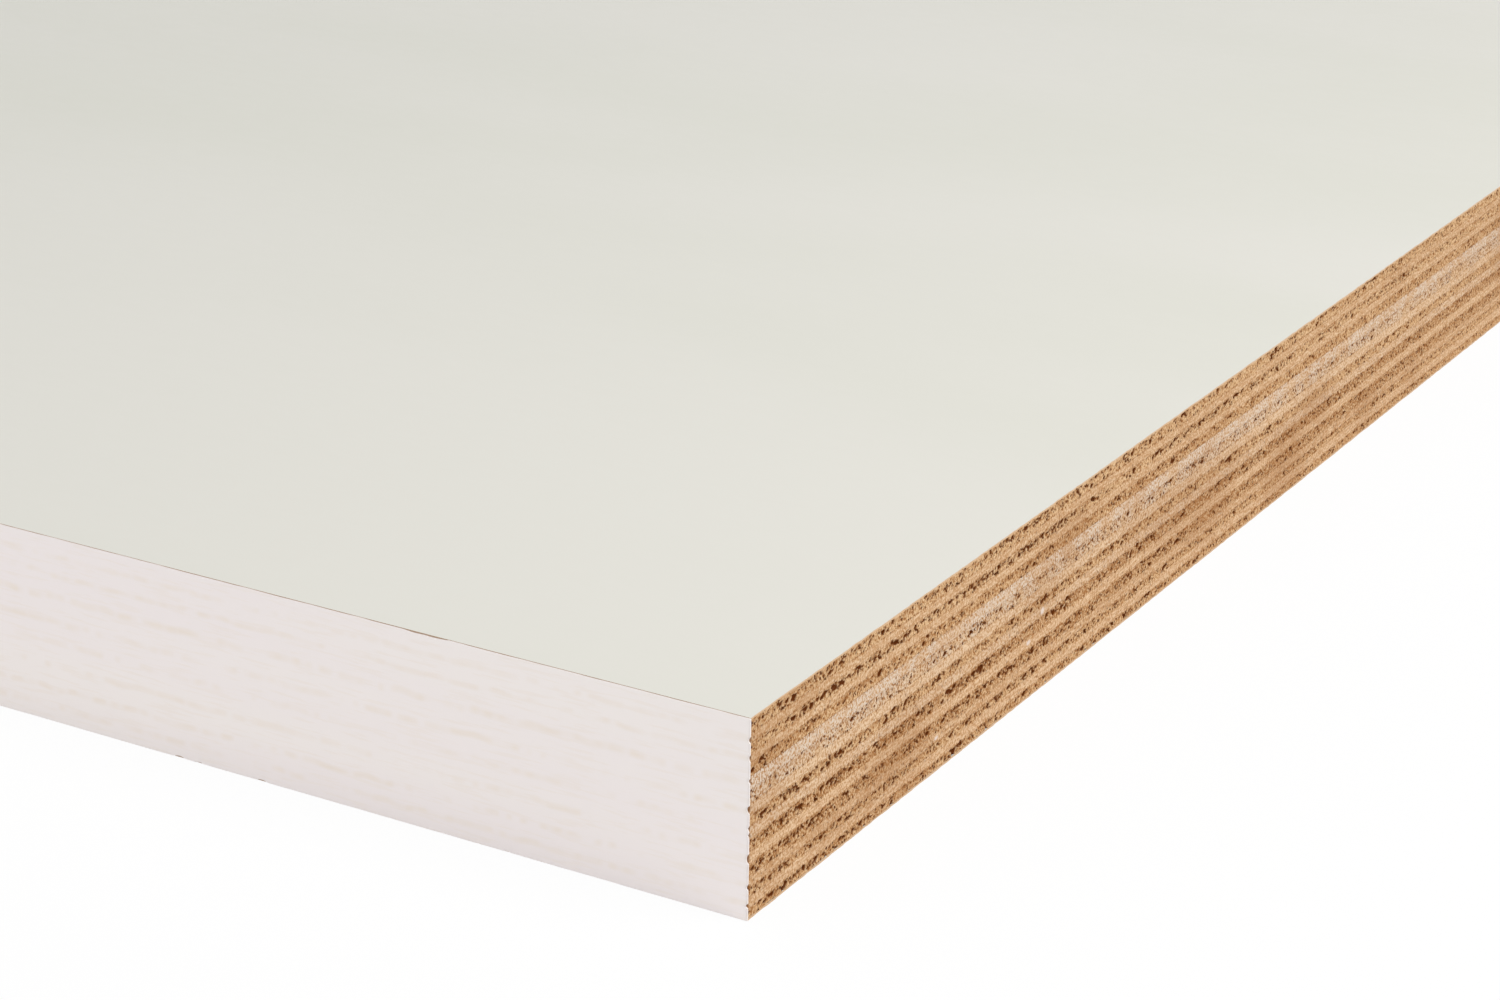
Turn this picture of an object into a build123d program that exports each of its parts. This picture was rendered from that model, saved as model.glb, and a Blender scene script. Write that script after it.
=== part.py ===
from build123d import *
import os

# A sheet of film-faced plywood that lies flat. It is glued up from seventeen thin veneers.
# The grain of each veneer runs at right angles to the grain of the veneers beside it, which
# keeps the sheet flat and strong both ways.
# +X runs along the sheet, +Y across it, +Z up. The origin is the middle of the bottom face.

# Overall size of the sheet, in millimetres.
SHEET_LENGTH = 2440.0
SHEET_WIDTH = 1220.0

# What is laid on the veneers: a film on both faces, and a sealing coat on both long edges.
FILM_THICKNESS = 0.24
SEAL_THICKNESS = 0.20
SEAL_ARRIS_RADIUS = 0.12

# Thickness of each veneer, from the top of the sheet down. A veneer is peeled at 1.2 to 1.8 mm
# and loses up to a third of that in the press, so no two are quite the same.
FACE_VENEER = 1.49
CROSSBAND_02 = 1.20
LONGBAND_03 = 1.20
CROSSBAND_04 = 1.15
LONGBAND_05 = 1.58
CROSSBAND_06 = 1.58
LONGBAND_07 = 1.63
CROSSBAND_08 = 1.39
CENTRE_VENEER = 1.37
CROSSBAND_10 = 1.37
LONGBAND_11 = 1.63
CROSSBAND_12 = 1.39
LONGBAND_13 = 1.68
CROSSBAND_14 = 1.30
LONGBAND_15 = 1.03
CROSSBAND_16 = 1.37
BACK_VENEER = 1.16

# The lay-up. Odd plies have their grain along the sheet, and even plies have it across.
LAY_UP = [
    ("ply_01_face", FACE_VENEER),
    ("ply_02_crossband", CROSSBAND_02),
    ("ply_03_longband", LONGBAND_03),
    ("ply_04_crossband", CROSSBAND_04),
    ("ply_05_longband", LONGBAND_05),
    ("ply_06_crossband", CROSSBAND_06),
    ("ply_07_longband", LONGBAND_07),
    ("ply_08_crossband", CROSSBAND_08),
    ("ply_09_centre", CENTRE_VENEER),
    ("ply_10_crossband", CROSSBAND_10),
    ("ply_11_longband", LONGBAND_11),
    ("ply_12_crossband", CROSSBAND_12),
    ("ply_13_longband", LONGBAND_13),
    ("ply_14_crossband", CROSSBAND_14),
    ("ply_15_longband", LONGBAND_15),
    ("ply_16_crossband", CROSSBAND_16),
    ("ply_17_back", BACK_VENEER),
]

# The veneers and films are sawn together, and the coat then brings the sheet to its width.
SAWN_WIDTH = SHEET_WIDTH - 2 * SEAL_THICKNESS


def layer(thickness, underside):
    """A sheet of veneer or film as wide as the sawn stack, with its underside at this height."""
    slab = Box(SHEET_LENGTH, SAWN_WIDTH, thickness, align=(Align.CENTER, Align.CENTER, Align.MIN))
    return Pos(0, 0, underside) * slab


def edge_seal(side, height):
    """The coat on one long edge, over the whole height. side is -1 at the front and 1 behind.
    It is sawn off square with the ends, and rounded along its top and bottom arris."""
    front_edge = -SAWN_WIDTH / 2 - SEAL_THICKNESS
    coat = Box(SHEET_LENGTH, SEAL_THICKNESS, height, align=(Align.CENTER, Align.MIN, Align.MIN))
    coat = Pos(0, front_edge, 0) * coat
    long_edges = coat.edges().filter_by(Axis.X)
    arrises = long_edges.sort_by(Axis.Y)[:2]
    coat = fillet(arrises, SEAL_ARRIS_RADIUS)
    return coat if side < 0 else coat.rotate(Axis.Z, 180)


def sheet():
    """Every piece of the sheet by its name, built up from the bottom film."""
    pieces = {"film_bottom": layer(FILM_THICKNESS, 0)}
    height = FILM_THICKNESS
    for name, thickness in reversed(LAY_UP):
        pieces[name] = layer(thickness, height)
        height += thickness
    pieces["film_top"] = layer(FILM_THICKNESS, height)
    height += FILM_THICKNESS
    pieces["edge_seal_front"] = edge_seal(-1, height)
    pieces["edge_seal_back"] = edge_seal(1, height)
    print(f"{len(LAY_UP)} plies, {height:.2f} mm thick")
    return pieces


os.makedirs("parts", exist_ok=True)
for name, piece in sheet().items():
    export_step(piece, f"parts/{name}.step")
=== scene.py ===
# %% [markdown]
# # A sheet of film-faced plywood
# Plywood is glued up from thin veneers, each with its grain at right angles to the next. This
# sheet has seventeen, a pale resin film on both faces, and a white sealing coat on its long
# edges. Its ends are raw from the saw. That is where the lesson is: one end shows wood cut
# across the grain and wood cut along it, turn and turn about, in bands of 1.0 to 1.7 mm.
#
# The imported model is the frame. It gives every piece its size and place, in metres, with the
# sheet lying flat, +X along it, +Y across it and the origin in the middle of its underside.

# %% Load the frame
import math
from types import SimpleNamespace

import bpy
import numpy as np
from mathutils import Matrix, Vector


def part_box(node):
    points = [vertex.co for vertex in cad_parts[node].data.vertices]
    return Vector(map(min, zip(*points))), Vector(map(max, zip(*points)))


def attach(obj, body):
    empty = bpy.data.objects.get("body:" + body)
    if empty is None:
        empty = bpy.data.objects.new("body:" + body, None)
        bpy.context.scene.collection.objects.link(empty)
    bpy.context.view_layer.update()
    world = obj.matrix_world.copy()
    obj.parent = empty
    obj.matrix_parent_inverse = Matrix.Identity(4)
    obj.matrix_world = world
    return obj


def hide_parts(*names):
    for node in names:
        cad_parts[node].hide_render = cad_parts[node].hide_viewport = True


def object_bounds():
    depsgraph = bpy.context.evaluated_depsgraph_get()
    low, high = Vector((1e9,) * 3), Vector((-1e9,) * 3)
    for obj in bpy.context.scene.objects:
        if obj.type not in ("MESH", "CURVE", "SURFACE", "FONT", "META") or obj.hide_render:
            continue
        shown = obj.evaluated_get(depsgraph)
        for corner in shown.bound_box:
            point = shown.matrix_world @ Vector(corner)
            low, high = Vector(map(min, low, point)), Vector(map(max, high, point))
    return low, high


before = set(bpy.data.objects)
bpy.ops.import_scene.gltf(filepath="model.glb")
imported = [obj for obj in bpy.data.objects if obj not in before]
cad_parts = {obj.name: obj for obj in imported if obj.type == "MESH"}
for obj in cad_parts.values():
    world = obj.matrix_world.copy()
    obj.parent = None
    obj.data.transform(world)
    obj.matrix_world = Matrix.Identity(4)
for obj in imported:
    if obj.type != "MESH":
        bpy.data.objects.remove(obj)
cad_low, cad_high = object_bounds()
MM = 0.001
print("sheet of", [round(size / MM, 2) for size in cad_high - cad_low], "mm")

# %% [markdown]
# The veneers, films and coats keep the names that they have in the frame. An odd veneer has its
# grain along the sheet, so an end of the sheet shows its cut fibres. An even one lies across,
# and the same end shows its fibres lengthways.

# %% Sort the pieces by what they are
VENEERS = sorted(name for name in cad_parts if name.startswith("ply_"))
END_GRAIN = VENEERS[0::2]
LONG_GRAIN = VENEERS[1::2]
print(len(END_GRAIN), "veneers show end grain at the ends,", len(LONG_GRAIN), "show long grain")


# %% [markdown]
# Colours are easiest to judge as they are seen, from 0 to 255, but a shader mixes light, which
# adds up on a linear scale. One helper turns the first into the second.

# %% A colour as it is seen
def seen(red, green, blue):
    """A colour as it is seen, each part from 0 to 255, as the shader's linear RGBA."""
    parts = []
    for part in (red, green, blue):
        share = part / 255
        parts.append(share / 12.92 if share <= 0.04045 else ((share + 0.055) / 1.055) ** 2.4)
    return (*parts, 1.0)


WHITE = (1.0, 1.0, 1.0, 1.0)
print("mid grey is", round(seen(128, 128, 128)[0], 3), "in linear light")

# %% [markdown]
# ## Camera
# The near corner of the sheet is the subject, seen from above through a long lens. The camera's
# place is measured from the top of that corner, and its three angles are its heading from +Y,
# its tilt below the horizon and its small roll.

# %% The near corner
near_corner = Vector((cad_high.x, cad_low.y, cad_high.z))
print("near corner at", [round(part, 4) for part in near_corner])

# %% Camera
FROM_CORNER = Vector((176.9, -308.2, 165.0)) * MM
HEADING, TILT, ROLL = math.radians(-29.92), math.radians(21.54), math.radians(0.907)
LENS_MM, SENSOR_MM = 89.31, 36.0

forward = Vector((
    math.sin(HEADING) * math.cos(TILT),
    math.cos(HEADING) * math.cos(TILT),
    -math.sin(TILT),
))
level_right = Vector((math.cos(HEADING), -math.sin(HEADING), 0))
level_up = level_right.cross(forward)
right = math.cos(ROLL) * level_right + math.sin(ROLL) * level_up
up = math.cos(ROLL) * level_up - math.sin(ROLL) * level_right

camera_data = bpy.data.cameras.new("camera")
camera_data.lens = LENS_MM
camera_data.sensor_width = SENSOR_MM
camera_data.clip_start = 0.01
camera = bpy.data.objects.new("camera", camera_data)
bpy.context.scene.collection.objects.link(camera)
camera.matrix_world = Matrix((right, up, -forward)).transposed().to_4x4()
camera.location = near_corner + FROM_CORNER
bpy.context.scene.camera = camera
print("camera", round(FROM_CORNER.length / MM), "mm from the corner")


# %% [markdown]
# ## Node groups and how they are written
# A material is a tree of nodes. Writing one by hand takes three calls for each node, so a small
# helper adds a node, sets its options and links or fills its inputs in one line.

# %% One node in one line
def node(tree, kind, inputs=None, **options):
    """Adds a node of this kind. inputs gives each input, by name or number, a socket or a value."""
    made = tree.nodes.new(kind)
    for name, value in options.items():
        setattr(made, name, value)
    for name, value in (inputs or {}).items():
        if isinstance(value, bpy.types.NodeSocket):
            tree.links.new(value, made.inputs[name])
        else:
            made.inputs[name].default_value = value
    return made


def maths(tree, operation, a, b=0.0):
    """The result of a Math node on two sockets or numbers."""
    return node(tree, "ShaderNodeMath", {0: a, 1: b}, operation=operation).outputs[0]


def stretch(tree, value, low, high, to_low=0.0, to_high=1.0):
    """Takes low..high to to_low..to_high in a smooth curve, and holds it there outside."""
    made = node(
        tree, "ShaderNodeMapRange",
        {"Value": value, "From Min": low, "From Max": high, "To Min": to_low, "To Max": to_high},
        interpolation_type="SMOOTHSTEP",
    )
    return made.outputs["Result"]


def blend_colour(tree, share, a, b):
    """Colour a, turned into b by this share."""
    made = node(tree, "ShaderNodeMix", data_type="RGBA")
    for name, value in (("Factor_Float", share), ("A_Color", a), ("B_Color", b)):
        socket = next(s for s in made.inputs if s.identifier == name)
        if isinstance(value, bpy.types.NodeSocket):
            tree.links.new(value, socket)
        else:
            socket.default_value = value
    return next(s for s in made.outputs if s.identifier == "Result_Color")


def tinted(tree, colour, target, mask, low, high, most=1.0):
    """The colour, turned into the target by up to most, as the mask goes from low to high."""
    return blend_colour(tree, stretch(tree, mask, low, high, 0.0, most), colour, target)


def new_group(name, inputs, outputs):
    """An empty node group with these sockets. inputs maps a name to its kind and default."""
    group = bpy.data.node_groups.new(name, "ShaderNodeTree")
    for socket_name, (kind, default) in inputs.items():
        socket = group.interface.new_socket(socket_name, in_out="INPUT", socket_type=kind)
        if default is not None:
            socket.default_value = default
    for socket_name, kind in outputs.items():
        group.interface.new_socket(socket_name, in_out="OUTPUT", socket_type=kind)
    return group, node(group, "NodeGroupInput").outputs, node(group, "NodeGroupOutput").inputs


FLOAT, VECTOR = "NodeSocketFloat", "NodeSocketVector"
print("helpers for nodes are ready")

# %% [markdown]
# ### Pores
# Hardwood carries water in vessels, which a saw opens as round pores on end grain. They are
# small cells of chance size, so a Voronoi texture makes them: its cells have a random centre,
# and its colour gives each cell a random size of its own. Only cells under a chosen share show.

# %% Group: pores
SMALLEST_PORE = 0.02

pores_group, given, result = new_group(
    "Pores",
    {
        "Vector": (VECTOR, None),
        "Cells per mm": (FLOAT, 2.0),
        "Radius": (FLOAT, 0.35),
        "Share": (FLOAT, 0.6),
    },
    {"Mask": FLOAT},
)
cells = node(
    pores_group, "ShaderNodeTexVoronoi",
    {"Vector": given["Vector"], "Scale": given["Cells per mm"]},
)
chance = node(pores_group, "ShaderNodeSeparateColor", {"Color": cells.outputs["Color"]})
wide = maths(pores_group, "MULTIPLY", given["Radius"], chance.outputs["Red"])
wide = maths(pores_group, "ADD", wide, SMALLEST_PORE)
from_centre = maths(pores_group, "DIVIDE", cells.outputs["Distance"], wide)
inside = stretch(pores_group, from_centre, 1.0, 0.5)
open_cell = maths(pores_group, "LESS_THAN", chance.outputs["Green"], given["Share"])
mask = maths(pores_group, "MULTIPLY", inside, open_cell)
pores_group.links.new(mask, result["Mask"])
print("group", pores_group.name, "has", len(pores_group.nodes), "nodes")

# %% [markdown]
# ### Grain and drift
# Fibres run one way, so the noise that paints them is drawn out along that way: its coordinates
# are shrunk along the grain. A second, slow noise lets the tone drift from place to place, as
# the colour of a log does.

# %% Group: grain
grain_group, given, result = new_group(
    "Grain",
    {
        "Vector": (VECTOR, None),
        "Along": (VECTOR, (1.0, 1.0, 1.0)),
        "Detail per mm": (FLOAT, 3.0),
        "Drift per mm": (FLOAT, 0.05),
    },
    {"Fibre": FLOAT, "Drift": FLOAT},
)
along = node(
    grain_group, "ShaderNodeVectorMath",
    {0: given["Vector"], 1: given["Along"]}, operation="MULTIPLY",
).outputs[0]
fibre = node(
    grain_group, "ShaderNodeTexNoise",
    {"Vector": along, "Scale": given["Detail per mm"], "Detail": 3.0, "Roughness": 0.65},
)
drift = node(
    grain_group, "ShaderNodeTexNoise",
    {"Vector": along, "Scale": given["Drift per mm"], "Detail": 2.0, "Roughness": 0.5},
)
grain_group.links.new(fibre.outputs["Fac"], result["Fibre"])
grain_group.links.new(drift.outputs["Fac"], result["Drift"])
print("group", grain_group.name, "has", len(grain_group.nodes), "nodes")


# %% [markdown]
# ### A material in millimetres
# Every finish here is drawn from the object's own coordinates, turned into millimetres, so the
# numbers in the groups are real sizes: two pores per millimetre are two pores per millimetre.

# %% Start a material
def new_material(name):
    """A material with its Principled shader, and the point on the object in millimetres."""
    made = bpy.data.materials.new(name)
    made.use_nodes = True
    tree = made.node_tree
    shader = next(n for n in tree.nodes if n.type == "BSDF_PRINCIPLED")
    place = node(tree, "ShaderNodeTexCoord").outputs["Object"]
    place_mm = node(
        tree, "ShaderNodeVectorMath", {0: place, "Scale": 1 / MM}, operation="SCALE",
    ).outputs[0]
    return made, tree, shader, place_mm


def use_group(tree, group, **inputs):
    """Places a group in a material. Spaces in an input's name are written as underscores."""
    by_name = {name.replace("_", " "): value for name, value in inputs.items()}
    return node(tree, "ShaderNodeGroup", by_name, node_tree=group).outputs


def bump(tree, shader, height, depth_mm):
    """Feeds a height from 0 to 1, worth this many millimetres, to the shader's normal."""
    made = node(tree, "ShaderNodeBump", {"Height": height, "Distance": depth_mm * MM})
    tree.links.new(made.outputs["Normal"], shader.inputs["Normal"])


print("materials are drawn in millimetres")

# %% [markdown]
# ## Veneer
# A sawn end shows two faces of the same wood. Across the fibres it drinks light: it is darker,
# as grainy as sand, full of pores, and torn beside the glue lines where the saw left a veneer.
# Along the fibres it is paler and smoother, with thin streaks. Where the two meet, the border is
# ragged, because the blade drags fibres of each over the other. The tears are in the mesh, which
# also says how deep each point lies, in the attribute "tear". The shader darkens it there, the more
# the deeper it lies: partly the darker torn wood and partly painted shade in the hollow. It also
# adds what is finer than the mesh.

# %% Wood colours
TAN, TAN_PALE, TAN_DEEP = seen(206, 162, 115), seen(238, 206, 164), seen(157, 104, 57)
BLOND, BLOND_PALE, BLOND_DEEP = seen(219, 182, 144), seen(238, 211, 176), seen(188, 142, 97)
PORE_BROWN = seen(98, 47, 8)
CHALK, CHIP_PALE = seen(224, 208, 190), seen(230, 214, 202)


def mixed(a, b, share):
    """Two RGBA colours mixed, b by this share."""
    return tuple(x + (y - x) * share for x, y in zip(a, b))


def shaded(middle, pale, deep, tone):
    """The middle colour moved by tone, from -1 for the deep one to 1 for the pale one."""
    return mixed(middle, pale if tone > 0 else deep, abs(tone))


print("wood colours are set")


# %% [markdown]
# Everything that is painted on a veneer follows from a few masks. Sand and streaks are its grain,
# and clumps are where marks crowd together. The level is 0 at the veneer's underside and 1 at its
# top, so it also tells how near the glue is, and the clumps make that border wander.

# %% Masks of a veneer
RAGGED = 1.1


def wood_masks(tree, place, low_mm, thick_mm):
    """The grain of a veneer at three scales, its level, and its ragged borders."""
    sand = use_group(
        tree, grain_group, Vector=place, Along=(1.0, 1.0, 0.75), Detail_per_mm=3.5, Drift_per_mm=0.3,
    )
    clumps = use_group(
        tree, grain_group, Vector=place, Along=(1.0, 0.7, 1.0), Detail_per_mm=0.9, Drift_per_mm=0.06,
    )
    streak = use_group(
        tree, grain_group, Vector=place, Along=(1.0, 0.12, 1.0), Detail_per_mm=4.0, Drift_per_mm=0.2,
    )
    height = node(tree, "ShaderNodeSeparateXYZ", {0: place}).outputs["Z"]
    level = maths(tree, "DIVIDE", maths(tree, "SUBTRACT", height, low_mm), thick_mm)
    return SimpleNamespace(
        sand=sand["Fibre"], bloom=sand["Drift"], clumps=clumps["Fibre"], drift=clumps["Drift"],
        streak=streak["Fibre"], level=level,
        beside_glue=maths(tree, "ABSOLUTE", maths(tree, "SUBTRACT", level, 0.5)),
        wander=maths(tree, "MULTIPLY", clumps["Fibre"], RAGGED),
    )


print("a veneer is painted from its grain and its level")


# %% [markdown]
# End grain is sandy, darkest towards its top under the glue line above it, partly for torn fibres
# and partly as painted shade, and lapped with pale fibres at its borders. Long grain is streaked,
# and the sandy look breaks in at its borders. Each of the two also says how crowded its pores are.

# %% The two ways of cutting wood
def sandy_wood(tree, masks, tone):
    """The grainy tan of fibres that are cut across."""
    colour = shaded(TAN, TAN_PALE, TAN_DEEP, tone)
    colour = tinted(tree, colour, TAN_PALE, masks.sand, 0.5, 0.59, 0.8)
    return tinted(tree, colour, TAN_DEEP, masks.sand, 0.49, 0.4, 0.9)


def end_grain_wood(tree, masks, tone, pored):
    """The colour of wood cut across its fibres, and the share of its cells that are open."""
    # Painted shade, with darker torn fibres: end grain darkens towards its top, under the glue line
    # above.
    under_glue = stretch(tree, masks.level, 0.3, 0.9, 0.1, 0.5)
    shade = maths(tree, "MULTIPLY", under_glue, stretch(tree, masks.clumps, 0.42, 0.58))
    colour = blend_colour(tree, shade, sandy_wood(tree, masks, tone), TAN_DEEP)
    lapped = maths(tree, "SUBTRACT", masks.beside_glue, masks.wander)
    colour = tinted(tree, colour, BLOND, lapped, -0.1, 0.01, 0.7)
    crowd = stretch(tree, masks.level, 0.0, 0.9, 0.35 * pored, 0.95 * pored)
    crowd = maths(tree, "MULTIPLY", crowd, stretch(tree, masks.clumps, 0.4, 0.58, 0.15, 1.1))
    return colour, crowd


def long_grain_wood(tree, masks, tone, pored):
    """The colour of wood cut along its fibres, and the share of its cells that are open."""
    colour = shaded(BLOND, BLOND_PALE, BLOND_DEEP, tone)
    colour = tinted(tree, colour, BLOND_PALE, masks.streak, 0.48, 0.62, 0.5)
    colour = tinted(tree, colour, BLOND_DEEP, masks.streak, 0.5, 0.38, 0.6)
    colour = tinted(tree, colour, BLOND_DEEP, masks.sand, 0.5, 0.4, 0.95)
    colour = tinted(tree, colour, BLOND_PALE, masks.sand, 0.53, 0.62, 0.6)
    torn_over = stretch(tree, maths(tree, "ADD", masks.beside_glue, masks.wander), 0.9, 1.04)
    colour = blend_colour(tree, torn_over, colour, sandy_wood(tree, masks, tone))
    crowd = maths(tree, "ADD", maths(tree, "MULTIPLY", torn_over, 0.35), pored)
    return colour, crowd


print("end grain is tan and sandy, long grain is blond and streaked")


# %% Veneer material
PORES_PER_MM, PORE_RADIUS = 2.4, 0.6


def veneer_material(name, low_mm, thick_mm, end_grain, tone, chalky, pored):
    """One veneer's wood. tone runs from -1, which is deep, to 1, which is pale. chalky is the
    share of whitish bloom, and pored the share of cells that are open pores."""
    pore_dark, tear_dark, relief_mm = (0.95, 1.0, 0.12) if end_grain else (0.4, 0.65, 0.05)
    made, tree, shader, place = new_material(name)
    masks = wood_masks(tree, place, low_mm, thick_mm)
    wood = end_grain_wood if end_grain else long_grain_wood
    colour, crowd = wood(tree, masks, tone, pored)
    colour = tinted(tree, colour, TAN_DEEP, masks.drift, 0.5, 0.7, 0.3)
    bloom = maths(tree, "MULTIPLY", stretch(tree, masks.bloom, 0.66, 0.4, 0.3, 1.0), chalky)
    bloom = maths(tree, "MULTIPLY", bloom, stretch(tree, masks.sand, 0.42, 0.56))
    colour = blend_colour(tree, bloom, colour, CHALK)
    pores = use_group(
        tree, pores_group, Vector=place, Cells_per_mm=PORES_PER_MM, Radius=PORE_RADIUS, Share=crowd,
    )["Mask"]
    colour = blend_colour(tree, maths(tree, "MULTIPLY", pores, pore_dark), colour, PORE_BROWN)
    # The deeper a point lies in a tear or a strip joint, the darker it is: partly the darker torn
    # wood and dark joint, partly painted shade in the hollow.
    tear = node(tree, "ShaderNodeAttribute", attribute_name="tear").outputs["Fac"]
    colour = tinted(tree, colour, PORE_BROWN, tear, 0.04, 0.5, tear_dark)
    chip = node(tree, "ShaderNodeAttribute", attribute_name="chip").outputs["Fac"]
    colour = blend_colour(tree, chip, colour, CHIP_PALE)
    tree.links.new(colour, shader.inputs["Base Color"])
    tree.links.new(stretch(tree, masks.sand, 0.3, 0.7, 0.95, 0.8), shader.inputs["Roughness"])
    shader.inputs["Specular IOR Level"].default_value = 0.1
    bump(tree, shader, maths(tree, "SUBTRACT", masks.sand, pores), relief_mm)
    return made


print("pores stand in cells of", round(1 / PORES_PER_MM, 2), "mm")


# %% [markdown]
# The seventeen veneers are not alike. Their tones are read from the top down: the sixth
# is pale with a whitish bloom, the seventh beige, and of those that show end grain the eleventh
# and thirteenth are the darkest and have the most pores.

# %% One material for each veneer
TONE = {
    1: 0.2, 2: -0.4, 3: 0.25, 4: -0.2, 5: -0.15, 6: -0.3, 7: 0.2, 8: 0.2, 9: 0.15,
    10: -0.15, 11: -0.45, 12: 0.0, 13: -0.4, 14: -0.35, 15: 0.1, 16: 0.1, 17: 0.0,
}
CHALKY = {6: 0.95, 7: 0.65, 8: 0.2, 10: 0.25}
PORED = {
    1: 0.9, 3: 0.9, 5: 0.8, 7: 0.7, 9: 0.85, 10: 0.2, 11: 1.0, 13: 1.0, 14: 0.3, 15: 0.85, 17: 0.95,
}
FEW_PORES = 0.08

veneer_materials = {}
for number, name in enumerate(VENEERS, start=1):
    low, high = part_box(name)
    veneer_materials[name] = veneer_material(
        f"veneer_{number:02d}", low.z / MM, (high.z - low.z) / MM, name in END_GRAIN,
        TONE[number], CHALKY.get(number, 0.0), PORED.get(number, FEW_PORES),
    )
print(len(veneer_materials), "veneer materials")


# %% [markdown]
# ## The relief of a sawn end
# A saw blade leaves end grain open and fuzzy, and it tears fibres out beside the glue lines. A
# photograph shows those tears as dark specks of 0.2 to 1 mm in loose clusters. They are real
# hollows, so they are made in the mesh: each end of each veneer is a fine grid, and each point
# of it is pushed in. Near the corner that the camera sees the grid is 0.15 mm, and it grows to
# a few millimetres along the rest, where nobody would see more.

# %% Places along an end
FINE_STEP, FINE_STRETCH, WIDEST_STEP = 0.15, 204.0, 5.0
GROWTH = 1.03
FAR_END_COUNT = 320


def stations(length, step, fine_stretch, widest):
    """Places in mm from the near corner: this step apart along the fine stretch, then wider."""
    places = [0.0]
    while places[-1] + 1.5 * step < length:
        places.append(places[-1] + step)
        if places[-1] > fine_stretch:
            step = min(step * GROWTH, widest)
    return np.array([*places, length])


def drifting(rng, places, wave):
    """Smooth noise from -1 to 1 along a line, at these places, with this wavelength."""
    knots = rng.uniform(-1, 1, int(places[-1] / wave) + 3)
    at = places / wave
    index = at.astype(int)
    share = at - index
    share = share * share * (3 - 2 * share)
    return knots[index] * (1 - share) + knots[index + 1] * share


sawn_low, sawn_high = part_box(VENEERS[0])
SAWN_WIDTH = (sawn_high.y - sawn_low.y) / MM
END_PLACES = stations(SAWN_WIDTH, FINE_STEP, FINE_STRETCH, WIDEST_STEP)
FAR_END_PLACES = np.linspace(0, SAWN_WIDTH, FAR_END_COUNT)
print(len(END_PLACES), "places along the near end,", len(FAR_END_PLACES), "along the far one")


# %% [markdown]
# A tear is an oval dent. Its size and depth are chance, and there are more where a slow noise
# says so. Two in five hang under the glue line above them, and fewer are left farther from the
# corner. They are laid out over the whole end first, so that a tear can bite into two veneers at
# once. The numbers are millimetres from the near corner and above the underside of the sheet. A
# shape gives the half width, half height and depth of a tear for its size.

# %% Lay out the tears of the near end
TEARS_PER_MM = {1: 7.0, 3: 12.0, 5: 4.5, 7: 2.5, 9: 8.0, 11: 9.0, 13: 9.0, 15: 6.0, 17: 8.0}
STREAKS_PER_MM = 0.12
CLUSTER, CLUMP = 7.0, 2.0
THIN_FROM, THIN_TO, FEWEST = 65.0, 149.5, 0.35
HANGING, HUNG_LEVEL, HUNG_SPREAD = 0.4, 0.76, 0.25
GAMMA_SHAPE, GAMMA_SCALE, SMALLEST_TEAR = 2.4, 0.052, 0.05
TEAR_SHAPE, STREAK_SHAPE = (1.15, 0.8, 0.75), (3.0, 0.35, 0.3)
HALF_WIDTHS, HALF_HEIGHTS, SHALLOWEST_TEAR = (0.12, 0.6), (0.08, 0.3), 0.03


def tears_of_veneer(rng, number, low, thick):
    """Tears in one veneer, as rows of place, level, half width, half height and depth."""
    wide, tall, deep = TEAR_SHAPE if number in TEARS_PER_MM else STREAK_SHAPE
    spots = np.arange(0, FINE_STRETCH, 0.5)
    crowd = drifting(rng, spots, CLUSTER) + 0.7 * drifting(rng, spots, CLUMP)
    count = int(FINE_STRETCH * TEARS_PER_MM.get(number, STREAKS_PER_MM))
    place = rng.uniform(0, FINE_STRETCH, count)
    place = place[np.interp(place, spots, crowd) > rng.uniform(-1.5, 1.0, count)]
    left = np.interp(place, (THIN_FROM, THIN_TO), (1.0, FEWEST))
    place = place[left > rng.random(len(place))]
    count = len(place)
    hung = HUNG_LEVEL - np.abs(rng.normal(0.0, HUNG_SPREAD, count))
    level = np.where(rng.random(count) < HANGING, hung, rng.uniform(0.05, 0.9, count))
    size = rng.gamma(GAMMA_SHAPE, GAMMA_SCALE, count) + SMALLEST_TEAR
    half_width = np.clip(size * wide, *HALF_WIDTHS)
    half_height = np.clip(size * tall, *HALF_HEIGHTS)
    depth = deep * np.sqrt(half_width * half_height) + SHALLOWEST_TEAR
    return np.stack([place, low + level * thick, half_width, half_height, depth], 1)


SEED = 24
rng = np.random.default_rng(SEED)
veneer_tears = []
for number, name in enumerate(VENEERS, start=1):
    low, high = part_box(name)
    veneer_tears.append(tears_of_veneer(rng, number, low.z / MM, (high.z - low.z) / MM))
print(sum(len(tears) for tears in veneer_tears), "tears near the corner")

# %% [markdown]
# Three chips of pale wood stand in the darker veneers, a strip joint runs slantwise through the
# top three, and another stands upright low down. Where the coat ends, the saw has nicked it at
# about every crossband, and the wood behind each nick is torn. Nicks are given by their depth
# below the top of the sheet, half their height and how far they go in.

# %% Chips, joints and the nicked corner
TOP = cad_high.z / MM
CHIPS = [(70.9, TOP - 13.5, 0.6, 0.5), (67.3, TOP - 16.4, 0.6, 0.36), (43.4, TOP - 19.6, 0.55, 0.28)]
CHIP_EDGE = 1.6
JOINTS = [((138.9, TOP - 0.3), (144.4, TOP - 4.6)), ((85.4, TOP - 18.9), (86.6, TOP - 23.8))]
JOINT_HALF_WIDTH, JOINT_DEPTH = 0.13, 0.12
NICKS = [
    (2.6, 0.3, 0.22), (4.7, 0.32, 0.16), (7.4, 0.26, 0.15), (10.7, 0.45, 0.3), (13.0, 0.22, 0.18),
    (13.8, 0.22, 0.15), (16.6, 0.55, 0.26), (20.0, 0.32, 0.2), (22.2, 0.28, 0.28),
]
TORN_BEHIND, TORN_DEPTH = 0.25, 0.36

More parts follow.
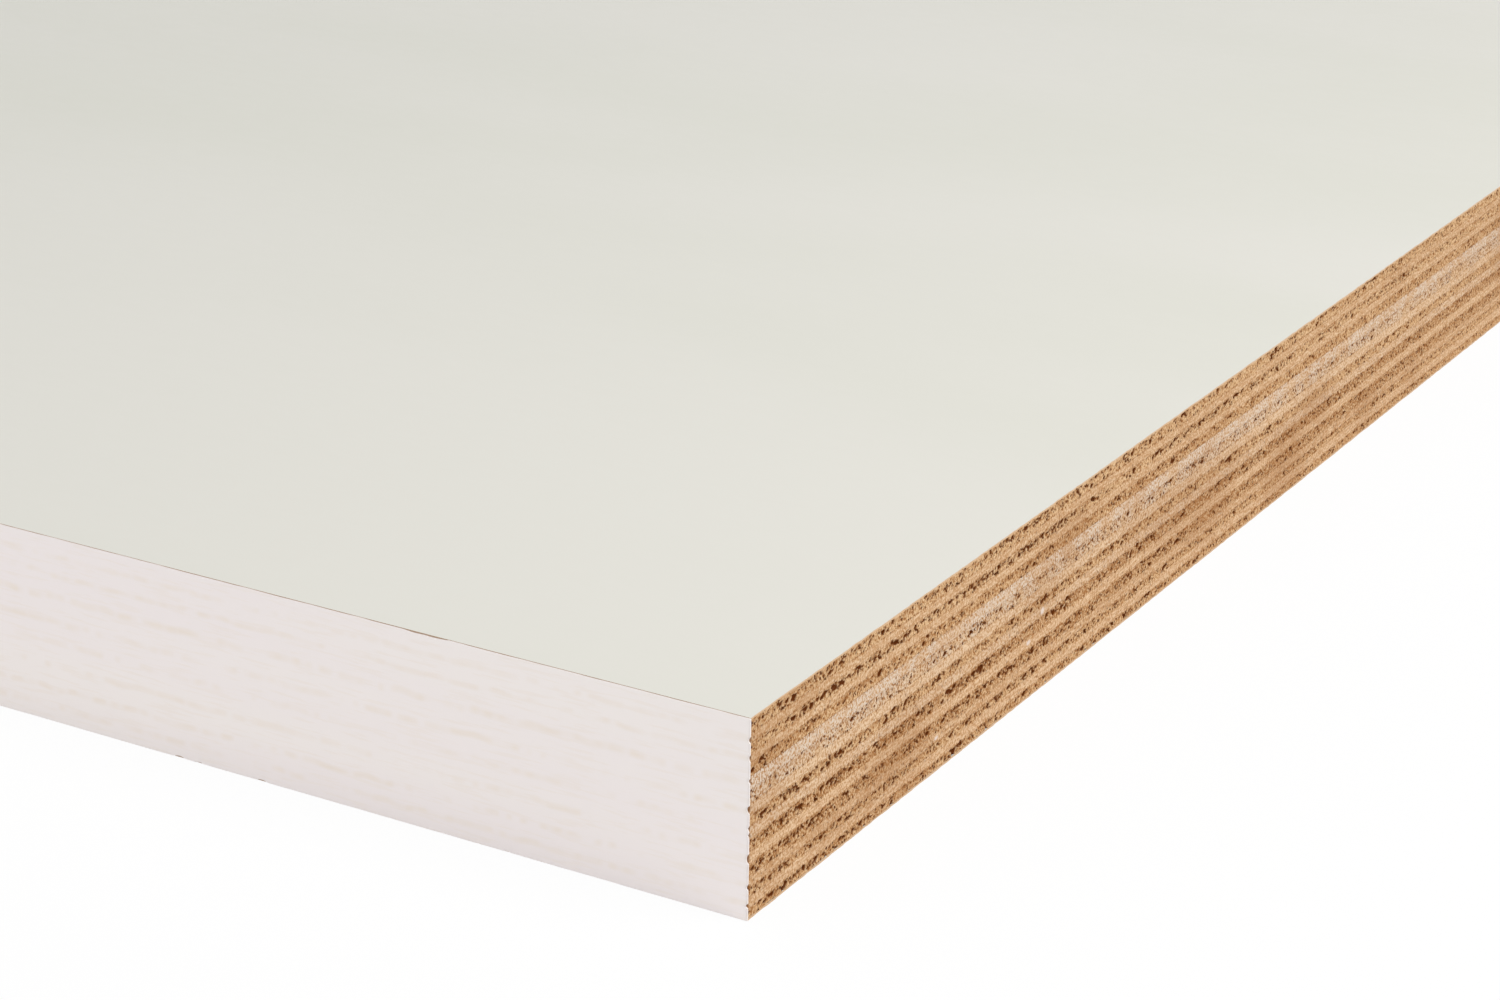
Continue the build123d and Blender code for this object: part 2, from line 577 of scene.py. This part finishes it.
corner_tears = [
    (0.0, TOP - below, TORN_BEHIND, 1.1 * half_height, TORN_DEPTH) for below, half_height, _ in NICKS
]
near_tears = np.concatenate([*veneer_tears, corner_tears])
print(len(CHIPS), "chips,", len(JOINTS), "joints,", len(NICKS), "nicks at the corner")


# %% Dents and marks on a grid of points
def off_centre(places, levels, place, level, half_width, half_height):
    """How far each point of a grid is from an oval's middle, squared, with 1 on its outline."""
    aside = (places[:, None] - place) / half_width
    above = (levels[None, :] - level) / half_height
    return aside**2 + above**2


def dented(places, levels, tears):
    """Depth in mm at each point of a grid. Where tears meet, the deepest wins."""
    depth = np.zeros((len(places), len(levels)))
    reach = tears[:, 3]
    here = (tears[:, 1] + reach > levels[0]) & (tears[:, 1] - reach < levels[-1])
    for place, level, half_width, half_height, deep in tears[here]:
        first, last = np.searchsorted(places, (place - half_width, place + half_width))
        if last > first:
            off = off_centre(places[first:last], levels, place, level, half_width, half_height)
            dent = deep * np.clip(1 - off, 0, 1) ** 0.5
            depth[first:last] = np.maximum(depth[first:last], dent)
    return depth


def joint_marks(places, levels):
    """Depth in mm of the strip joints, which are thin slanting grooves."""
    depth = np.zeros((len(places), len(levels)))
    for (place_a, level_a), (place_b, level_b) in JOINTS:
        run = (levels - level_a) / (level_b - level_a)
        centre = place_a + run * (place_b - place_a)
        off = np.abs(places[:, None] - centre[None, :]) / JOINT_HALF_WIDTH
        groove = JOINT_DEPTH * np.clip(1 - off, 0, 1)
        depth = np.maximum(depth, groove * ((run >= 0) & (run <= 1))[None, :])
    return depth


def chip_marks(places, levels):
    """1 on a chip of pale wood, 0 off it."""
    shown = np.zeros((len(places), len(levels)))
    for chip in CHIPS:
        off = off_centre(places, levels, *chip)
        shown = np.maximum(shown, np.clip(CHIP_EDGE * (1 - off), 0, 1))
    return shown


print("dents are stamped one by one")


# %% [markdown]
# A veneer is then one closed mesh: two grids for its ends, and four plain faces between them.
# The faces are built as lists of corner numbers, because that is quick for a grid.

# %% A grid of faces
def grid_faces(first, columns, rows, turned):
    """The quads of a grid whose points are numbered column by column from first."""
    column, row = np.meshgrid(np.arange(columns - 1), np.arange(rows - 1), indexing="ij")
    a = (first + column * rows + row).ravel()
    quads = np.stack([a, a + rows, a + rows + 1, a + 1], 1)
    return (quads[:, ::-1] if turned else quads).tolist()


def link(name, points, faces, smooth_faces, material):
    """A mesh object from points in metres. The first smooth_faces faces are shaded smooth."""
    mesh = bpy.data.meshes.new(name)
    mesh.from_pydata(points, [], faces)
    mesh.polygons.foreach_set("use_smooth", [i < smooth_faces for i in range(len(faces))])
    mesh.materials.append(material)
    mesh.update()
    made = bpy.data.objects.new(name, mesh)
    bpy.context.scene.collection.objects.link(made)
    return made


def write_attribute(piece, name, values):
    """Keeps one number for each point of a piece, for its material to read."""
    attribute = piece.data.attributes.new(name, "FLOAT", "POINT")
    attribute.data.foreach_set("value", np.asarray(values, np.float32))


print("a grid of 3 by 3 points has", len(grid_faces(0, 3, 3, turned=False)), "faces")


# %% One end of a veneer
FUZZ_END_GRAIN, FUZZ_LONG_GRAIN = 0.05, 0.018
SAW_WAVE, SAW_WAVE_LENGTH = 0.02, 14.0
DEEPEST_TEAR = 0.38


def end_block(places, levels, x, inward, rng, cut_across, near):
    """The points of one end in metres, and how torn and how chipped each point is."""
    tears = near_tears if near else near_tears[:0]
    torn = np.minimum(dented(places, levels, tears), DEEPEST_TEAR)
    joint, chip = near * joint_marks(places, levels), near * chip_marks(places, levels)
    wave = SAW_WAVE * (1 + drifting(rng, places, SAW_WAVE_LENGTH))[:, None]
    fuzz = (FUZZ_END_GRAIN if cut_across else FUZZ_LONG_GRAIN) * rng.random(torn.shape)
    pushed = np.maximum(torn * (1 - chip), joint) + wave + fuzz
    block = np.empty((len(places), len(levels), 3))
    block[:, :, 0] = x + inward * pushed * MM
    block[:, :, 1] = sawn_low.y + places[:, None] * MM
    block[:, :, 2] = levels[None, :] * MM
    return block.reshape(-1, 3), (np.maximum(torn, joint) / DEEPEST_TEAR).ravel(), chip.ravel()


print("an end is pushed in by up to", DEEPEST_TEAR, "mm at a tear")


# %% One veneer
ROW_STEP, FAR_ROWS = 0.14, 4


def veneer_mesh(name, low, high, rng, material, cut_across):
    """A veneer between two corners, with a sawn relief on both ends."""
    rows = max(5, round((high.z - low.z) / MM / ROW_STEP) + 1)
    near_levels = np.linspace(low.z / MM, high.z / MM, rows)
    far_levels = np.linspace(low.z / MM, high.z / MM, FAR_ROWS)
    ends = [
        end_block(END_PLACES, near_levels, high.x, -1, rng, cut_across, near=True),
        end_block(FAR_END_PLACES, far_levels, low.x, 1, rng, cut_across, near=False),
    ]
    near_count = len(ends[0][0])
    faces = grid_faces(0, len(END_PLACES), rows, turned=False)
    faces += grid_faces(near_count, len(FAR_END_PLACES), FAR_ROWS, turned=True)
    grids = len(faces)
    near = np.arange(near_count).reshape(len(END_PLACES), -1)
    far = near_count + np.arange(len(ends[1][0])).reshape(len(FAR_END_PLACES), -1)
    faces.append([*near[::-1, 0].tolist(), *far[:, 0].tolist()])
    faces.append([*near[:, -1].tolist(), *far[::-1, -1].tolist()])
    faces.append([*near[0].tolist(), *far[0, ::-1].tolist()])
    faces.append([*near[-1, ::-1].tolist(), *far[-1].tolist()])
    points, torn, chipped = (np.concatenate(both) for both in zip(*ends))
    made = link(name, points, faces, grids, material)
    write_attribute(made, "tear", torn)
    write_attribute(made, "chip", chipped)
    return made


print("a near end has", round(1 / ROW_STEP), "rows of points to the millimetre")


# %% Build all the veneers
triangles = 0
for number, name in enumerate(VENEERS, start=1):
    low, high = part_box(name)
    piece = veneer_mesh(
        name.replace("ply", "veneer"), low, high, np.random.default_rng(SEED + number),
        veneer_materials[name], name in END_GRAIN,
    )
    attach(piece, "root")
    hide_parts(name)
    triangles += sum(len(face.vertices) - 2 for face in piece.data.polygons)
print(len(VENEERS), "veneers,", triangles, "triangles")

# %% [markdown]
# ## Facing film
# The face is a sheet of paper soaked in resin and pressed on hot. It is off-white, with a satin
# sheen and hardly any texture. Its cut side is tan at the sawn ends, and stained darker where it
# shows above the coat. The shader tells them apart by the way that the surface faces.

# %% Film material
FILM, FILM_SHADE = seen(227, 226, 218), seen(223, 223, 213)
FILM_CUT, FILM_STAINED = seen(214, 180, 142), seen(182, 156, 134)

film_material, tree, shader, place = new_material("facing_film")
sheen = use_group(
    tree, grain_group, Vector=place, Along=(0.35, 1.0, 1.0), Detail_per_mm=0.5, Drift_per_mm=0.012,
)
normal = node(tree, "ShaderNodeNewGeometry").outputs["Normal"]
facing = node(tree, "ShaderNodeSeparateXYZ", {0: normal}).outputs
along_coat = stretch(tree, maths(tree, "ABSOLUTE", facing["Y"]), 0.4, 0.8)
on_face = stretch(tree, maths(tree, "ABSOLUTE", facing["Z"]), 0.4, 0.6)
side_colour = blend_colour(tree, along_coat, FILM_CUT, FILM_STAINED)
face_colour = tinted(tree, FILM, FILM_SHADE, sheen["Drift"], 0.35, 0.65)
tree.links.new(blend_colour(tree, on_face, side_colour, face_colour), shader.inputs["Base Color"])
tree.links.new(stretch(tree, sheen["Fibre"], 0.3, 0.7, 0.34, 0.4), shader.inputs["Roughness"])
shader.inputs["Specular IOR Level"].default_value = 0.18
bump(tree, shader, sheen["Fibre"], 0.006)
print("film material is ready")


# %% [markdown]
# The film could stay a plain slab, but its edge at a sawn end is frayed by a tenth of a
# millimetre, and that edge is the longest line that the camera sees. So each film is one flat
# sheet whose outline has many points along the near end.

# %% Build both films
FRAY, FRAY_WAVE = 0.11, 1.1


def film_mesh(name, low, high, rng):
    """A thin sheet between two corners, with its near end frayed."""
    slow = drifting(rng, END_PLACES, FRAY_WAVE)
    frayed = FRAY * (0.35 + 0.35 * slow + 0.3 * rng.random(len(END_PLACES)))
    outline = [(high.x - fray * MM, low.y + place * MM) for fray, place in zip(frayed, END_PLACES)]
    outline += [(low.x, high.y), (low.x, low.y)]
    count = len(outline)
    points = [(x, y, z) for z in (low.z, high.z) for x, y in outline]
    faces = [[i, (i + 1) % count, (i + 1) % count + count, i + count] for i in range(count)]
    faces += [list(range(count))[::-1], list(range(count, 2 * count))]
    return link(name, points, faces, 0, film_material)


for name in ("film_top", "film_bottom"):
    low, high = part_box(name)
    rng = np.random.default_rng(SEED + len(name))
    piece = film_mesh(name.replace("film", "facing_film"), low, high, rng)
    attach(piece, "root")
    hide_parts(name)
print("film on both faces, frayed by up to", FRAY, "mm")

# %% [markdown]
# ## Sealing coat
# The long edges are sprayed with a white, faintly pink sealer. It sinks into the open end grain
# of the crossbands, so their rows show through as faint beige dashes. The coat also leaves a
# hair's breadth of the film's side bare, is nicked at the sawn corner, is chipped in a few places
# along its bottom arris, and is worn along a short stretch of its top one.
#
# The coat is made as a cross-section swept along the sheet: at each place the same rows of
# points go up the outside, round both arrises and in to the wood. Then the rows at the
# crossbands are sunk by a few hundredths of a millimetre, dash by dash.

# %% Seal material
SEAL, SEAL_COOL, SEAL_SUNK = seen(243, 237, 234), seen(242, 235, 234), seen(238, 228, 219)

seal_material, tree, shader, place = new_material("edge_seal")
spray = use_group(
    tree, grain_group, Vector=place, Along=(0.08, 1.0, 1.0), Detail_per_mm=1.8, Drift_per_mm=0.06,
)
colour = tinted(tree, SEAL, SEAL_COOL, spray["Drift"], 0.42, 0.6)
colour = tinted(tree, colour, SEAL_SUNK, spray["Fibre"], 0.5, 0.36, 0.35)
sunk = node(tree, "ShaderNodeAttribute", attribute_name="sunk").outputs["Fac"]
mottled = maths(tree, "MULTIPLY", sunk, stretch(tree, spray["Fibre"], 0.3, 0.6, 0.4, 1.0))
colour = blend_colour(tree, mottled, colour, SEAL_SUNK)
tree.links.new(colour, shader.inputs["Base Color"])
tree.links.new(stretch(tree, spray["Fibre"], 0.3, 0.7, 0.5, 0.6), shader.inputs["Roughness"])
shader.inputs["Specular IOR Level"].default_value = 0.35
bump(tree, shader, spray["Fibre"], 0.012)
print("seal material is ready")

# %% Measures of the coat
COAT_STEP, COAT_FINE_STRETCH, COAT_WIDEST, BACK_COAT_STEP = 0.35, 108.0, 15.0, 2.0
ROW_HEIGHT, ARRIS_RADIUS, ARRIS_STEPS = 0.2, 0.12, 3
BOTTOM_LIP, TOP_LIP, SUNK_DEPTH = 0.02, 0.055, 0.02
LONG_DASH, SHORT_DASH, ROW_WANDER, SUNK_SHARE = 6.0, 0.9, 0.2, 0.75
WORN_FROM, WORN_TO, WORN_DIP = 38.5, 44.5, 0.15
BOTTOM_CHIPS = [(65.0, 0.8, 0.2), (74.0, 0.5, 0.16), (77.0, 0.9, 0.22), (31.0, 0.5, 0.12)]
NICK_REACH = 2.0

coat_low, coat_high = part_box("edge_seal_front")
COAT_THICKNESS = (coat_high.y - coat_low.y) / MM
COAT_LENGTH = (coat_high.x - coat_low.x) / MM
FRONT_PLACES = stations(COAT_LENGTH, COAT_STEP, COAT_FINE_STRETCH, COAT_WIDEST)
BACK_PLACES = stations(COAT_LENGTH, BACK_COAT_STEP, 0.0, COAT_WIDEST)
print("coat", round(COAT_THICKNESS, 2), "mm thick,", len(FRONT_PLACES), "places along the front one")


# %% Lips of the coat
def hump(places, centre, half_width):
    """A smooth hump of height 1 at a place."""
    return np.clip(1 - ((places - centre) / half_width) ** 2, 0, 1)


def lips(rng, places, chips, worn_dip):
    """How far the coat's bottom and top lie inside the sheet's, in mm, at each place."""
    bottom = BOTTOM_LIP + 0.015 * drifting(rng, places, 3.0)
    for centre, half_width, deep in chips:
        bottom = np.maximum(bottom, deep * hump(places, centre, half_width))
    top = TOP_LIP + 0.03 * drifting(rng, places, 2.2) + 0.02 * drifting(rng, places, 17.0)
    worn = hump(places, (WORN_FROM + WORN_TO) / 2, (WORN_TO - WORN_FROM) / 2) ** 0.5
    return bottom, top + worn_dip * worn * (0.7 + 0.3 * drifting(rng, places, 0.8))


def sunk_rows(rng, places, levels):
    """0 to 1 at each point of the outer face: how far the coat has sunk into a crossband."""
    sunk = np.zeros(levels.shape)
    for name in LONG_GRAIN:
        low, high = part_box(name)
        middle, half = (low.z + high.z) / 2 / MM, (high.z - low.z) / 2 / MM
        dashes = 0.5 * drifting(rng, places, LONG_DASH) + 0.6 * drifting(rng, places, SHORT_DASH)
        dashes = np.clip(0.4 + dashes, 0, 1) * rng.uniform(0.7, 1.0)
        wander = ROW_WANDER * drifting(rng, places, 2.5)
        row = hump(levels, middle + wander[:, None], SUNK_SHARE * half)
        sunk = np.maximum(sunk, dashes[:, None] * row)
    return sunk


def nicked(levels):
    """How far the sawn end of the coat is pushed in, in mm, at these heights."""
    depth = np.zeros(levels.shape)
    for below, half_height, deep in NICKS:
        depth = np.maximum(depth, deep * hump(levels, TOP - below, half_height) ** 0.5)
    return depth


print(len(BOTTOM_CHIPS), "chips in the bottom arris and one worn stretch in the top one")


# %% [markdown]
# The cross-section starts at the wood under the sheet and ends at the wood on top. The inner
# side is one flat face, because the wood hides it. At the near end it gets a column of points
# of its own, so that the nicks go right through the coat.

# %% Cross-section of a coat
def cross_section():
    """Rows of depth from the outer face, share of the height, and height added, in mm."""
    angles = np.linspace(0, math.pi / 2, ARRIS_STEPS + 1)
    arris_depth = ARRIS_RADIUS * (1 - np.sin(angles))
    arris_rise = ARRIS_RADIUS * (1 - np.cos(angles))
    shares = np.linspace(0, 1, round(TOP / ROW_HEIGHT) + 1)[1:-1]
    depth = [COAT_THICKNESS, *arris_depth, *(0 * shares), *arris_depth[::-1], COAT_THICKNESS]
    share = [0, *(0 * angles), *shares, *(0 * angles + 1), 1]
    rise = [0, *arris_rise, *(ARRIS_RADIUS * (1 - 2 * shares)), *(-arris_rise[::-1]), 0]
    return np.array(depth), np.array(share), np.array(rise)


print("a coat has", len(cross_section()[0]), "rows of points")


# %% Faces of a coat
def coat_faces(columns, rows, first_row, last_row):
    """The faces of a coat that faces the back, and how many of them are its smooth outside.
    The column of points behind the near end runs from the first row to the last one."""
    numbers = np.arange(columns * rows).reshape(columns, rows)
    behind = columns * rows + np.arange(last_row + 1 - first_row)
    faces = grid_faces(0, columns, rows, turned=False)
    smooth = len(faces)
    for i, row in enumerate(range(first_row, last_row)):
        faces.append([behind[i], numbers[0, row], numbers[0, row + 1], behind[i + 1]])
    faces.append([*numbers[0, :first_row + 1], behind[0]])
    faces.append([behind[-1], *numbers[0, last_row:]])
    faces.append([*numbers[-1, ::-1]])
    faces.append([*behind, *numbers[:, -1], *numbers[::-1, 0]])
    return [[int(number) for number in face] for face in faces], smooth


print("a coat of 3 columns by 12 rows has", len(coat_faces(3, 12, 4, 7)[0]), "faces")


# %% Build both coats
def coat_mesh(name, low, high, outward, places, chips, worn_dip):
    """A coat on the long edge that faces outward, -1 for the front and 1 for the back."""
    rng = np.random.default_rng(SEED + 2 + outward)
    depth, share, rise = cross_section()
    bottom, top = lips(rng, places, chips, worn_dip)
    levels = bottom[:, None] * (1 - share) + (TOP - top[:, None]) * share + rise
    sunk = sunk_rows(rng, places, levels)
    reach = np.clip(1 - places / NICK_REACH, 0, 1)[:, None]
    outer_y, inner_y = (high.y, low.y) if outward > 0 else (low.y, high.y)
    outside = np.empty((*levels.shape, 3))
    outside[:, :, 0] = high.x - (places[:, None] + nicked(levels) * reach) * MM
    outside[:, :, 1] = outer_y - outward * (depth + SUNK_DEPTH * sunk * (depth == 0)) * MM
    outside[:, :, 2] = levels * MM
    columns, rows = levels.shape
    first_row, last_row = ARRIS_STEPS + 1, rows - ARRIS_STEPS - 2
    behind = outside[0, first_row:last_row + 1].copy()
    behind[:, 1] = inner_y
    faces, smooth = coat_faces(columns, rows, first_row, last_row)
    if outward < 0:
        faces = [face[::-1] for face in faces]
    points = np.concatenate([outside.reshape(-1, 3), behind])
    made = link(name, points, faces, smooth, seal_material)
    write_attribute(made, "sunk", np.concatenate([sunk.ravel(), np.zeros(len(behind))]))
    return made


COATS = [
    ("edge_seal_front", -1, FRONT_PLACES, BOTTOM_CHIPS, WORN_DIP),
    ("edge_seal_back", 1, BACK_PLACES, [], 0.0),
]
for name, *how in COATS:
    low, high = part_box(name)
    piece = coat_mesh(name.replace("edge_seal", "sealing_coat"), low, high, *how)
    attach(piece, "root")
    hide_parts(name)
    triangles += sum(len(face.vertices) - 2 for face in piece.data.polygons)
print("seal on both long edges,", triangles, "triangles with the veneers")

# %% [markdown]
# ## Floor and light
# The sheet lies on a white floor, and soft light comes from all round. A key lamp above the sawn
# end makes the near corner a little brighter than the far parts, and lets the tears throw their
# small shadows. A fill lamp lights the coat from the front.
#
# The floor glows, and the sky is fully white, only to rays that carry a picture, seen directly or
# in a reflection. To rays that carry light, the floor is plain white paint, and the sky is as dim
# as the sheet needs.

# %% Floor
FLOOR_HALF, FLOOR_GLOW = 30.0, 0.94
FLOOR_BELOW = 0.00002


def seen_directly(tree):
    """1 for rays that carry a picture, which are camera, mirror and glass rays, and 0 for light."""
    path = node(tree, "ShaderNodeLightPath").outputs
    rays = maths(tree, "MAXIMUM", path["Is Camera Ray"], path["Is Glossy Ray"])
    return maths(tree, "MAXIMUM", rays, path["Is Transmission Ray"])


floor_material, tree, shader, place = new_material("floor")
mottle = use_group(
    tree, grain_group, Vector=place, Along=(1.0, 1.0, 1.0), Detail_per_mm=0.02, Drift_per_mm=0.001,
)
floor_colour = blend_colour(tree, mottle["Drift"], seen(251, 251, 251), seen(253, 253, 253))
tree.links.new(floor_colour, shader.inputs["Base Color"])
shader.inputs["Roughness"].default_value = 0.9
shader.inputs["Specular IOR Level"].default_value = 0.1
glow = node(tree, "ShaderNodeEmission", {"Color": WHITE, "Strength": 1.0})
share = maths(tree, "MULTIPLY", seen_directly(tree), FLOOR_GLOW)
mix = node(tree, "ShaderNodeMixShader", {0: share, 1: shader.outputs[0], 2: glow.outputs[0]})
output = next(n for n in tree.nodes if n.type == "OUTPUT_MATERIAL")
tree.links.new(mix.outputs[0], output.inputs["Surface"])
floor = link(
    "floor",
    [(-FLOOR_HALF, -FLOOR_HALF, 0), (FLOOR_HALF, -FLOOR_HALF, 0),
     (FLOOR_HALF, FLOOR_HALF, 0), (-FLOOR_HALF, FLOOR_HALF, 0)],
    [(0, 1, 2, 3)], 0, floor_material,
)
floor.location.z = -FLOOR_BELOW
print("floor", 2 * FLOOR_HALF, "m square")

# %% World
world = bpy.data.worlds.new("studio")
bpy.context.scene.world = world
world.use_nodes = True
tree = world.node_tree
tree.nodes.clear()
SKY_STRENGTH = 0.62
sky = node(tree, "ShaderNodeBackground", {"Color": WHITE, "Strength": SKY_STRENGTH})
backdrop = node(tree, "ShaderNodeBackground", {"Color": WHITE, "Strength": 1.0})
either = node(
    tree, "ShaderNodeMixShader", {0: seen_directly(tree), 1: sky.outputs[0], 2: backdrop.outputs[0]},
)
node(tree, "ShaderNodeOutputWorld", {"Surface": either.outputs[0]})
print("sky strength", SKY_STRENGTH)


# %% Lamps
def lamp(name, place, aim, size, power, colour):
    """A soft square lamp that the camera doesn't see, aimed at a point."""
    data = bpy.data.lights.new(name, "AREA")
    data.size = size
    data.energy = power
    data.color = colour
    made = bpy.data.objects.new(name, data)
    bpy.context.scene.collection.objects.link(made)
    made.location = place
    made.rotation_mode = "QUATERNION"
    made.rotation_quaternion = (Vector(aim) - Vector(place)).to_track_quat("-Z", "Y")
    made.visible_camera = False


KEY_FROM_CORNER, KEY_AIM = Vector((0.4, 0.12, 0.55)), Vector((0, 0.08, 0))
FILL_FROM_CORNER = Vector((-0.8, -0.9, 0.13))

lamp(
    "key", near_corner + KEY_FROM_CORNER, near_corner + KEY_AIM,
    size=0.4, power=2.4, colour=(1.0, 0.975, 0.95),
)
lamp(
    "fill", near_corner + FILL_FROM_CORNER, near_corner,
    size=0.25, power=2.35, colour=(1.0, 0.98, 0.98),
)
print("a key lamp and a fill lamp")

# %% View and sizes
scene = bpy.context.scene
scene.view_settings.view_transform = "Standard"
